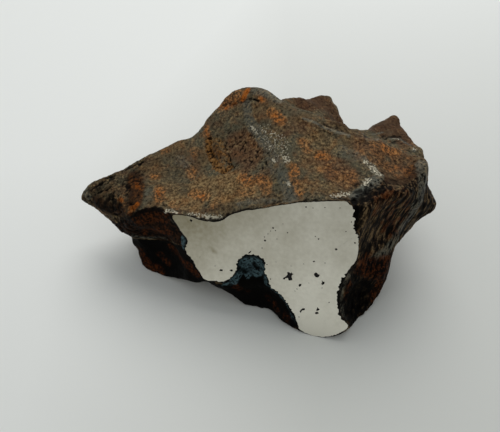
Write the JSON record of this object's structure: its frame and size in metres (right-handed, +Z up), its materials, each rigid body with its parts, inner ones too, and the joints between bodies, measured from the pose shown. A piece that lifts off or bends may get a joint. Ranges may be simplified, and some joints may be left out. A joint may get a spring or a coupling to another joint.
{
  "type": "iron meteorite with polished window",
  "caption": "Rusty, thumbprinted lump of meteoritic iron tapering to a horn, with a leaning sawn and polished window on its front.",
  "frame": {"origin": "middle of the footprint's bounding box, on the plane that the lump rests on", "axes": "+Z up as it rests, +X along its longest extent, away from the tip of the horn; the polished window faces -Y and leans back"},
  "size_m": [0.0602, 0.0412, 0.0275],
  "materials": {
    "meteoritic_iron": "Weathered crust, mottled dark brown with orange rust and worn grey ridges; the sawn window is polished bright grey nickel-iron."
  },
  "bodies": {
    "root": {"meteorite": "meteoritic_iron"}
  },
  "joints": []
}
